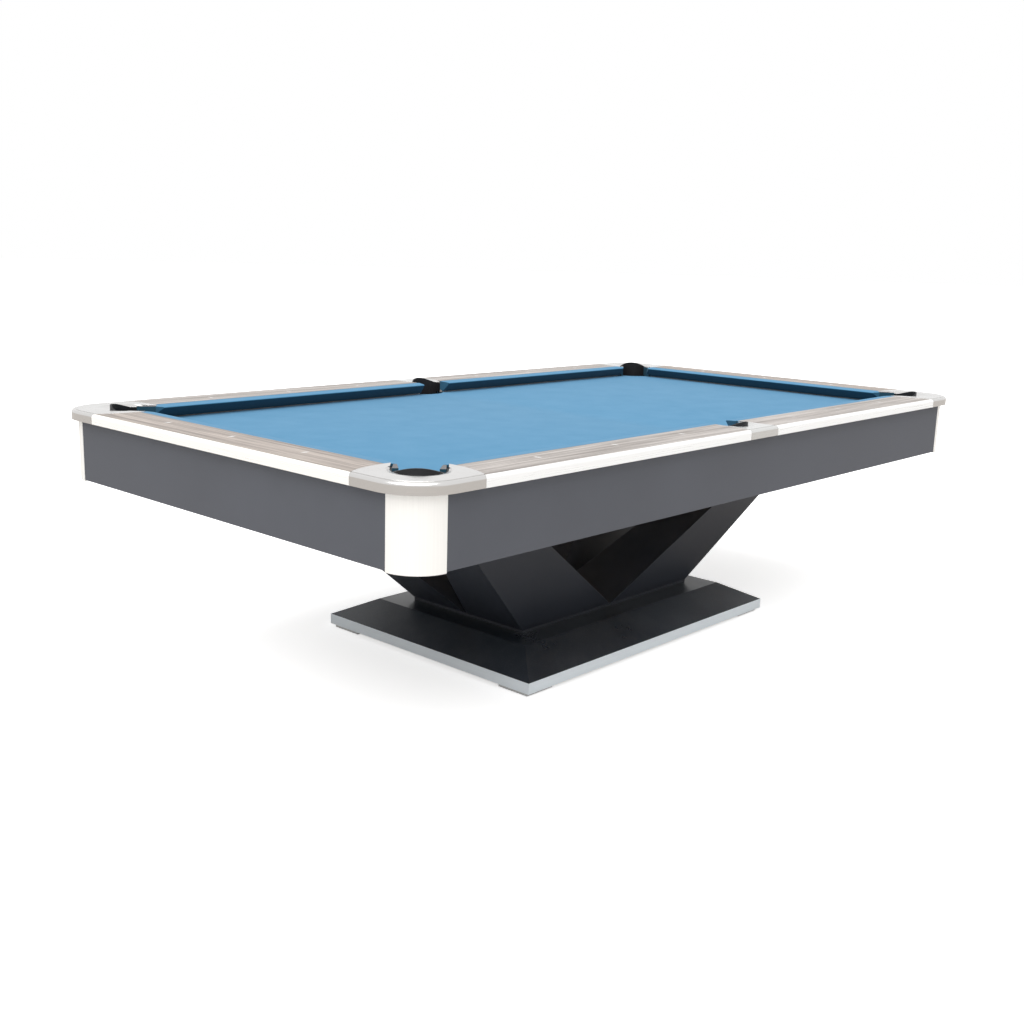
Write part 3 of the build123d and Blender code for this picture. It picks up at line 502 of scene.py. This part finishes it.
runX, runY, runZ = (3.0, 700.0, 700.0), (700.0, 3.0, 700.0), (500.0, 500.0, 3.0)
runLevel = (3.0, 3.0, 900.0)
cast = (6.0, 6.0, 6.0)  # no streaks, only broad patches
plankWood = {"light": (0.62, 0.46, 0.29), "dark": (0.38, 0.25, 0.14)}
finishes = {
    "apronLaminate": lacquered(
        "apronLaminate",
        (0.088, 0.093, 0.108),
        (0.17, 0.175, 0.19),
        0.52,
        peel=0.1,
        dustiness=0.05,
        edge=0.001,
        specular=0.3,
    ),
    "pocketMetal": brushedMetal(
        "pocketMetal", (0.7, 0.69, 0.68), (0.67, 0.66, 0.65), 0.22, cast, bumpy=0.004, dustiness=0.0
    ),
    "sideMetal": brushedMetal(
        "sideMetal", (0.72, 0.72, 0.71), (0.68, 0.68, 0.67), 0.24, cast, 0.8, bumpy=0.004, dustiness=0.0
    ),
    "cornerCover": brushedMetal("cornerCover", (0.96, 0.945, 0.91), (0.9, 0.885, 0.85), 0.38, runZ, 0.3),
    "trimLong": brushedMetal(
        "trimLong", (0.95, 0.95, 0.94), (0.92, 0.92, 0.91), 0.3, runX, 0.3, bumpy=0.02, dustiness=0.03
    ),
    "trimEnd": brushedMetal(
        "trimEnd", (0.97, 0.95, 0.91), (0.94, 0.92, 0.88), 0.3, runY, 0.3, bumpy=0.02, dustiness=0.03
    ),
    "bandMetal": brushedMetal("bandMetal", (0.9, 0.96, 1.0), (0.83, 0.89, 0.93), 0.36, runLevel, 0.08),
    "zincSteel": brushedMetal("zincSteel", (0.6, 0.6, 0.58), (0.46, 0.46, 0.45), 0.42, (90.0, 90.0, 400.0)),
    "railLong": railLaminate("railLong", (0.56, 0.515, 0.485), (0.19, 0.16, 0.14), turned=False, seed=0.0),
    "railEnd": railLaminate("railEnd", (0.5, 0.43, 0.38), (0.17, 0.135, 0.115), turned=True, seed=5.3),
    "frameWoodLong": plainWood("frameWoodLong", plankWood["light"], plankWood["dark"], turned=False),
    "frameWoodCross": plainWood("frameWoodCross", plankWood["light"], plankWood["dark"], turned=True),
    "fibreboard": plainWood("fibreboard", (0.36, 0.29, 0.22), (0.28, 0.22, 0.165), turned=False, rough=0.8),
    "blackSteel": lacquered("blackSteel", (0.035, 0.035, 0.038), (0.12, 0.12, 0.12), 0.42),
    "pedestalLacquer": lacquered(
        "pedestalLacquer",
        (0.026, 0.03, 0.04),
        (0.07, 0.072, 0.08),
        0.36,
        peel=0.06,
        dustiness=0.1,
        edge=0.002,
    ),
    "plinthLacquer": lacquered(
        "plinthLacquer",
        (0.02, 0.027, 0.038),
        (0.06, 0.065, 0.07),
        0.3,
        peel=0.05,
        dustiness=0.25,
        edge=0.002,
    ),
    "footPlastic": grainedRubber("footPlastic", (0.76, 0.76, 0.75), 0.5, size=700.0, strength=0.15),
    "facingMix": facingRubber("facingMix", (0.21, 0.205, 0.21), 0.6),
    "linerRubber": grainedRubber("linerRubber", (0.009, 0.009, 0.011), 0.45, size=420.0, strength=0.3),
    "bedCloth": billiardCloth("bedCloth", usesMap=False),
    "cushionCloth": billiardCloth("cushionCloth", usesMap=True),
    "slateStone": honedSlate(),
    "pearl": pearlInlay(),
}
print("finishes ready,", len(finishes))

finishOf = {  # start of a piece's name: its finish, the first that fits
    "apron_brackets": "blackSteel",
    "apron": "apronLaminate",
    "corner_casting": "pocketMetal",
    "side_casting": "sideMetal",
    "corner_facings": "facingMix",
    "corner_pocket": "linerRubber",
    "side_pocket": "linerRubber",
    "corner_post": "cornerCover",
    "cross_beams": "frameWoodCross",
    "long_beam": "frameWoodLong",
    "foot_pad": "footPlastic",
    "leveller_nuts": "zincSteel",
    "levelling_screw": "zincSteel",
    "pedestal_head": "blackSteel",
    "pedestal": "pedestalLacquer",
    "plinth_bands": "bandMetal",
    "plinth_board": "fibreboard",
    "plinth_hood": "plinthLacquer",
    "rail_bolts": "zincSteel",
    "rail_trims_long": "trimLong",
    "rail_trims_end": "trimEnd",
    "rail_end": "railEnd",
    "rail": "railLong",
    "slate": "slateStone",
}
for nodeName, node in nodes.items():
    found = [finish for start, finish in finishOf.items() if nodeName.startswith(start)]
    if found:
        node.data.materials.clear()
        node.data.materials.append(finishes[found[0]])

makeStudio(studio)


sharpFrom = math.radians(40)  # edges bent more than this stay crisp


# turns a bmesh into a piece with its finish
def finishPiece(name, shape, finish):
    mesh = bpy.data.meshes.new(name)
    bmesh.ops.recalc_face_normals(shape, faces=shape.faces)
    shape.to_mesh(mesh)
    shape.free()
    piece = bpy.data.objects.new(name, mesh)
    bpy.context.scene.collection.objects.link(piece)
    mesh.materials.append(finishes[finish])
    mesh.polygons.foreach_set("use_smooth", [True] * len(mesh.polygons))
    mesh.set_sharp_from_angle(angle=sharpFrom)
    return piece


def applyModifiers(piece):
    bpy.context.view_layer.update()
    evaluated = piece.evaluated_get(bpy.context.evaluated_depsgraph_get())
    finished = bpy.data.meshes.new_from_object(evaluated)
    piece.modifiers.clear()
    piece.data = finished


# cushions: cloth drawn over rubber
table = {
    "noseX": 1.270,
    "noseY": 0.635,
    "bedTop": 0.760,
    "railTop": 0.803,
}
cushion = {
    "noseHeight": 0.0365,
    "noseTop": 0.0029,
    "noseTopDepth": 0.0022,  # how far back the nose's upper round reaches, and its lower one
    "noseUnder": 0.003,
    "noseUnderDepth": 0.0016,
    "width": 0.0449,
    "backTop": 0.0428,
    "crown": 0.0003,
    "tuckStart": 0.0432,
    "tuckDepth": 0.0007,  # the cloth dips into the groove beside the wood
    "backBottom": 0.0105,
    "footDepth": 0.033,
    "footBottom": 0.0075,
    "faceDepth": 0.027,
    "faceBottom": 0.004,
    "cornerTip": 0.083,  # from the nose corner back to the tip
    "cornerThroat": 0.0158,
    "cornerStop": 0.0757,
    "cornerSlope": math.tan(math.radians(52)),
    "sideTip": 0.066,
    "sideSlope": math.tan(math.radians(14)),
    "sideThroat": 0.041,
    "sideStop": 0.0642,  # clear of the liner's arm, past the throat
    "spans": 40,
    "round": 0.0016,
    "roundSegments": 3,
    "roundFrom": math.radians(38),
    "backMap": (0.05, 0.08),  # where the hidden back face lies on the cloth map
    "stations": (  # depths behind the nose at which the section is drawn
        (0, 0.0003, 0.0009, 0.0016, 0.0022, 0.005, 0.01, 0.0158, 0.0206, 0.0235)
        + (0.027, 0.0284, 0.033, 0.037, 0.0409, 0.0411, 0.0432, 0.0441, 0.0449)
    ),
}


def cushionTop(depth):
    c = cushion
    rounded = c["noseTopDepth"]
    if depth < rounded:
        return c["noseHeight"] + c["noseTop"] * math.sqrt(1 - (1 - depth / rounded) ** 2)
    start = c["noseHeight"] + c["noseTop"]
    share = (depth - rounded) / (c["width"] - rounded)
    crown = c["crown"] * math.sin(math.pi * share)
    tuck = c["tuckDepth"] * max(0.0, (depth - c["tuckStart"]) / (c["width"] - c["tuckStart"]))
    return start + (c["backTop"] - start) * share + crown - tuck


def cushionBottom(depth):
    c = cushion
    rounded = c["noseUnderDepth"]
    if depth < rounded:
        return c["noseHeight"] - c["noseUnder"] * math.sqrt(1 - (1 - depth / rounded) ** 2)
    corners = [
        (rounded, c["noseHeight"] - c["noseUnder"]),
        (c["faceDepth"], c["faceBottom"]),
        (c["footDepth"], c["footBottom"]),
        (c["width"], c["backBottom"]),
    ]
    for (nearDepth, nearZ), (farDepth, farZ) in zip(corners, corners[1:]):
        if depth <= farDepth + 1e-6:
            return nearZ + (farZ - nearZ) * (depth - nearDepth) / (farDepth - nearDepth)
    return c["backBottom"]


# distance along the rail at which a cushion stops beside a corner pocket
def cornerEnd(depth, nose):
    c = cushion
    tip = nose - c["cornerTip"]
    throat = c["cornerThroat"]
    if depth <= throat:
        return tip + c["cornerSlope"] * depth
    back = tip + c["cornerSlope"] * throat - (depth - throat)
    return max(back, nose - c["cornerStop"])


def sideEnd(depth):
    c = cushion
    if depth <= c["sideThroat"]:
        return c["sideTip"] - c["sideSlope"] * depth
    return c["sideStop"]


# low and high give the two ends at a depth, place3d turns (along, depth, height) into a point
def cushionForm(name, low, high, place3d):
    c = cushion
    shape = bmesh.new()
    uvLayer = shape.loops.layers.uv.new("clothMap")
    spans = c["spans"]
    stations = c["stations"]
    rows = []
    for depth in stations:
        start, end = low(depth), high(depth)
        row = []
        for step in range(spans + 1):
            share = step / spans
            along = start + (end - start) * share
            top = shape.verts.new(place3d(along, depth, cushionTop(depth)))
            bottom = shape.verts.new(place3d(along, depth, cushionBottom(depth))) if depth else top
            row.append((along, top, bottom))
        rows.append(row)

    def face(corners, maps):
        if len(set(corners)) < 3:
            return
        kept = [(v, m) for i, (v, m) in enumerate(zip(corners, maps)) if v not in corners[:i]]
        made = shape.faces.new([v for v, _ in kept])
        for loop, (_, where) in zip(made.loops, kept):
            loop[uvLayer].uv = where

    for near, far, nearRow, farRow in zip(stations, stations[1:], rows, rows[1:]):
        squares = zip(nearRow, nearRow[1:], farRow, farRow[1:])
        for (a0, t0, b0), (a1, t1, b1), (a2, t2, b2), (a3, t3, b3) in squares:
            face([t0, t1, t3, t2], [(a0, near), (a1, near), (a3, far), (a2, far)])
            face([b0, b2, b3, b1], [(a0, -near), (a2, -far), (a3, -far), (a1, -near)])
        for edge in (0, -1):
            (_, t0, b0), (_, t1, b1) = nearRow[edge], farRow[edge]
            nearMap, farMap = 2 * near + far, near + 2 * far
            maps = [
                (nearMap, cushionTop(near)),
                (farMap, cushionTop(far)),
                (farMap, cushionBottom(far)),
                (nearMap, cushionBottom(near)),
            ]
            face([t0, t1, b1, b0], maps)
    mapTop, mapBottom = c["backMap"]
    for (a0, t0, b0), (a1, t1, b1) in zip(rows[-1], rows[-1][1:]):
        face([t0, t1, b1, b0], [(a0, mapTop), (a1, mapTop), (a1, mapBottom), (a0, mapBottom)])
    bmesh.ops.remove_doubles(shape, verts=shape.verts, dist=1e-6)
    piece = finishPiece(name, shape, "cushionCloth")
    rounding = piece.modifiers.new("clothRounding", "BEVEL")
    rounding.width = c["round"]
    rounding.segments = c["roundSegments"]
    rounding.limit_method = "ANGLE"
    rounding.angle_limit = c["roundFrom"]
    rounding.use_clamp_overlap = True
    applyModifiers(piece)
    return piece


def backEnd(depth):
    return cornerEnd(depth, table["noseX"])


longRails = {"back": 1, "front": -1}
sideways = {"right": 1, "left": -1}
for rail, ySign in longRails.items():
    for side, xSign in sideways.items():
        name = f"cushion_cloth_{rail}_{side}"
        piece = cushionForm(
            name,
            sideEnd,
            backEnd,
            lambda along, depth, z, xs=xSign, ys=ySign: (
                xs * along,
                ys * (table["noseY"] + depth),
                table["bedTop"] + z,
            ),
        )
        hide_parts(f"cushion_{rail}_{side}")
        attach(piece, "root")
for side, xSign in sideways.items():
    name = f"cushion_cloth_end_{side}"
    piece = cushionForm(
        name,
        lambda depth: -cornerEnd(depth, table["noseY"]),
        lambda depth: cornerEnd(depth, table["noseY"]),
        lambda along, depth, z, xs=xSign: (xs * (table["noseX"] + depth), along, table["bedTop"] + z),
    )
    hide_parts(f"cushion_end_{side}")
    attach(piece, "root")
print("cushions ready")

# bed cloth: stretched over the slates and turned down at the pockets
bed = {
    "halfLength": 1.400,
    "halfWidth": 0.765,
    "thickness": 0.001,
    "turnRadius": 0.003,
    "turnAngles": (0.4, 0.8, 1.2, math.pi / 2),
    "turnDown": (0.006, 0.012, 0.020),  # rings of the flap that hangs in a pocket, below the round
    "cornerBite": 0.110,
    "cornerBitePlace": 0.0827 / math.sqrt(2),
    "sideBite": 0.090,
    "sideBitePlace": 0.731,
    "biteSteps": 28,
}


def bedClothForm():
    b = bed
    shape = bmesh.new()
    rim, turned = [], []  # outline points, and the way in which the cloth turns down at each

    def bite(centre, radius, fromAngle, toAngle):
        for step in range(b["biteSteps"] + 1):
            angle = fromAngle + (toAngle - fromAngle) * step / b["biteSteps"]
            way = Vector((math.cos(angle), math.sin(angle)))
            rim.append(Vector(centre) + way * (radius + b["turnRadius"] - b["thickness"]))
            turned.append(-way)

    radius = b["cornerBite"] + b["turnRadius"] - b["thickness"]
    centreX, centreY = table["noseX"] + b["cornerBitePlace"], table["noseY"] + b["cornerBitePlace"]
    toEnd = math.acos((b["halfLength"] - centreX) / radius)  # where the bite meets the cloth's end
    toSide = math.asin((b["halfWidth"] - centreY) / radius)
    sideRadius = b["sideBite"] + b["turnRadius"] - b["thickness"]
    toNotch = math.asin((b["halfWidth"] - b["sideBitePlace"]) / sideRadius)
    halfTurn = math.pi
    # anticlockwise from the right end
    bite((centreX, centreY), b["cornerBite"], -toEnd, -halfTurn - toSide)
    bite((0, b["sideBitePlace"]), b["sideBite"], toNotch, -halfTurn - toNotch)
    bite((-centreX, centreY), b["cornerBite"], toSide, -halfTurn + toEnd)
    bite((-centreX, -centreY), b["cornerBite"], halfTurn - toEnd, -toSide)
    bite((0, -b["sideBitePlace"]), b["sideBite"], halfTurn + toNotch, -toNotch)
    bite((centreX, -centreY), b["cornerBite"], halfTurn + toSide, toEnd)
    top = [shape.verts.new((p.x, p.y, table["bedTop"])) for p in rim]
    edges = [shape.edges.new((top[i], top[(i + 1) % len(top)])) for i in range(len(top))]
    bmesh.ops.triangle_fill(shape, use_beauty=True, use_dissolve=False, edges=edges)
    turnRadius = b["turnRadius"]
    rings = [(turnRadius * math.sin(a), -turnRadius * (1 - math.cos(a))) for a in b["turnAngles"]]
    rings += [(turnRadius, -turnRadius - down) for down in b["turnDown"]]
    previous = top
    perBite = b["biteSteps"] + 1
    for out, drop in rings:
        ring = [
            shape.verts.new((p.x + way.x * out, p.y + way.y * out, table["bedTop"] + drop))
            for p, way in zip(rim, turned)
        ]
        for index in range(len(ring) - 1):
            if (index + 1) % perBite:
                shape.faces.new([previous[index], previous[index + 1], ring[index + 1], ring[index]])
        previous = ring
    mesh = bpy.data.meshes.new("bed_cloth_sheet")
    bmesh.ops.recalc_face_normals(shape, faces=shape.faces)
    if sum(f.normal.z * f.calc_area() for f in shape.faces) < 0:
        bmesh.ops.reverse_faces(shape, faces=shape.faces)
    area = sum(f.calc_area() for f in shape.faces)
    shape.to_mesh(mesh)
    shape.free()
    piece = bpy.data.objects.new("bed_cloth_sheet", mesh)
    bpy.context.scene.collection.objects.link(piece)
    mesh.materials.append(finishes["bedCloth"])
    mesh.polygons.foreach_set("use_smooth", [True] * len(mesh.polygons))
    thicken = piece.modifiers.new("clothThickness", "SOLIDIFY")
    thicken.thickness = b["thickness"]
    thicken.offset = -1
    applyModifiers(piece)
    return piece, area


bedSheet, clothArea = bedClothForm()
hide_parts("bed_cloth")
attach(bedSheet, "root")
print("bed cloth ready, area", round(clothArea, 3))

# sights: slender rhombi let into the rails, by Geometry Nodes
sight = {
    "length": 0.032,
    "width": 0.009,
    "thickness": 0.002,
    "edge": 0.0004,  # height of the bevelled rim
    "rimShare": 0.86,  # size of the top inside the rim
    "endGap": 0.0004,  # room left in the rail's cut, along and across the sight
    "sideGap": 0.0003,
    "mergeWithin": 0.00001,
    "proud": 0.0001,
    "fromNose": 0.095,
    "step": 0.3175,
}


def newGeometryTree(name, inputs):
    tree = bpy.data.node_groups.new(name, "GeometryNodeTree")
    tree.interface.new_socket("Geometry", in_out="INPUT", socket_type="NodeSocketGeometry")
    tree.interface.new_socket("Geometry", in_out="OUTPUT", socket_type="NodeSocketGeometry")
    sockets = {}
    for label, value in inputs.items():
        kind = "NodeSocketMaterial" if value is None else "NodeSocketFloat"
        sockets[label] = tree.interface.new_socket(label, in_out="INPUT", socket_type=kind)
        if value is not None:
            sockets[label].default_value = value
    return tree, sockets


def addTo(tree, kind, values=None, **settings):
    node = tree.nodes.new(kind)
    for key, value in settings.items():
        setattr(node, key, value)
    for key, value in (values or {}).items():
        feed(tree, node.inputs[key], value)
    return node


def makeSightTree():
    tree, sockets = newGeometryTree(
        "sightInlays",
        {
            "Length": sight["length"],
            "Width": sight["width"],
            "Thickness": sight["thickness"],
            "Edge": sight["edge"],
            "Finish": None,
        },
    )
    given = tree.nodes.new("NodeGroupInput").outputs
    rhombus = addTo(tree, "GeometryNodeMeshCircle", {"Vertices": 4, "Radius": 0.5}, fill_type="NGON")
    size = addTo(tree, "ShaderNodeCombineXYZ", {"X": given["Width"], "Y": given["Length"], "Z": 1.0})
    sized = addTo(tree, "GeometryNodeTransform", {"Geometry": rhombus.outputs[0], "Scale": size.outputs[0]})
    body = addTo(
        tree,
        "GeometryNodeExtrudeMesh",
        {"Mesh": sized.outputs[0], "Offset Scale": given["Thickness"], "Individual": False},
    )
    crown = addTo(
        tree,
        "GeometryNodeExtrudeMesh",
        {"Mesh": body.outputs["Mesh"], "Selection": body.outputs["Top"], "Offset Scale": given["Edge"]},
    )
    bottom = addTo(tree, "GeometryNodeFlipFaces", {"Mesh": sized.outputs[0]})
    shrink = addTo(
        tree,
        "GeometryNodeScaleElements",
        {"Geometry": crown.outputs["Mesh"], "Selection": crown.outputs["Top"], "Scale": sight["rimShare"]},
    )
    whole = addTo(tree, "GeometryNodeJoinGeometry")
    tree.links.new(shrink.outputs[0], whole.inputs[0])
    tree.links.new(bottom.outputs[0], whole.inputs[0])
    closed = addTo(
        tree, "GeometryNodeMergeByDistance", {"Geometry": whole.outputs[0], "Distance": sight["mergeWithin"]}
    )
    turn = addTo(tree, "GeometryNodeInputNamedAttribute", {"Name": "turn"}, data_type="FLOAT")
    spin = addTo(tree, "ShaderNodeCombineXYZ", {"Z": turn.outputs[0]})
    spun = addTo(tree, "FunctionNodeEulerToRotation", {0: spin.outputs[0]})
    spread = addTo(
        tree,
        "GeometryNodeInstanceOnPoints",
        {"Points": given["Geometry"], "Instance": closed.outputs[0], "Rotation": spun.outputs[0]},
    )
    real = addTo(tree, "GeometryNodeRealizeInstances", {"Geometry": spread.outputs[0]})
    painted = addTo(
        tree, "GeometryNodeSetMaterial", {"Geometry": real.outputs[0], "Material": given["Finish"]}
    )
    out = tree.nodes.new("NodeGroupOutput")
    tree.links.new(painted.outputs[0], out.inputs[0])
    return tree, sockets


# runs a Geometry Nodes tree over loose points and keeps the plain mesh
def growOnPoints(name, points, turns, tree, sockets, values):
    mesh = bpy.data.meshes.new(name + "_points")
    mesh.from_pydata(points, [], [])
    turn = mesh.attributes.new("turn", "FLOAT", "POINT")
    turn.data.foreach_set("value", turns)
    piece = bpy.data.objects.new(name, mesh)
    bpy.context.scene.collection.objects.link(piece)
    grower = piece.modifiers.new(tree.name, "NODES")
    grower.node_group = tree
    for label, value in values.items():
        grower[sockets[label].identifier] = value
    applyModifiers(piece)
    return piece


sightTree, sightSockets = makeSightTree()
sightPoints, sightTurns = [], []
sightBase = table["railTop"] + sight["proud"] - sight["thickness"] - sight["edge"]
longLine, endLine = table["noseY"] + sight["fromNose"], table["noseX"] + sight["fromNose"]
for count in (-3, -2, -1, 1, 2, 3):
    for ySign in (1, -1):
        sightPoints.append((count * sight["step"], ySign * longLine, sightBase))
        sightTurns.append(0.0)
for count in (-1, 0, 1):
    for xSign in (1, -1):
        sightPoints.append((xSign * endLine, count * sight["step"], sightBase))
        sightTurns.append(math.pi / 2)
sightPiece = growOnPoints(
    "sight_inlays",
    sightPoints,
    sightTurns,
    sightTree,
    sightSockets,
    {
        "Length": sight["length"] - sight["endGap"],
        "Width": sight["width"] - sight["sideGap"],
        "Thickness": sight["thickness"],
        "Edge": sight["edge"],
        "Finish": finishes["pearl"],
    },
)
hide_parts("sights")
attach(sightPiece, "root")
print("sights ready")
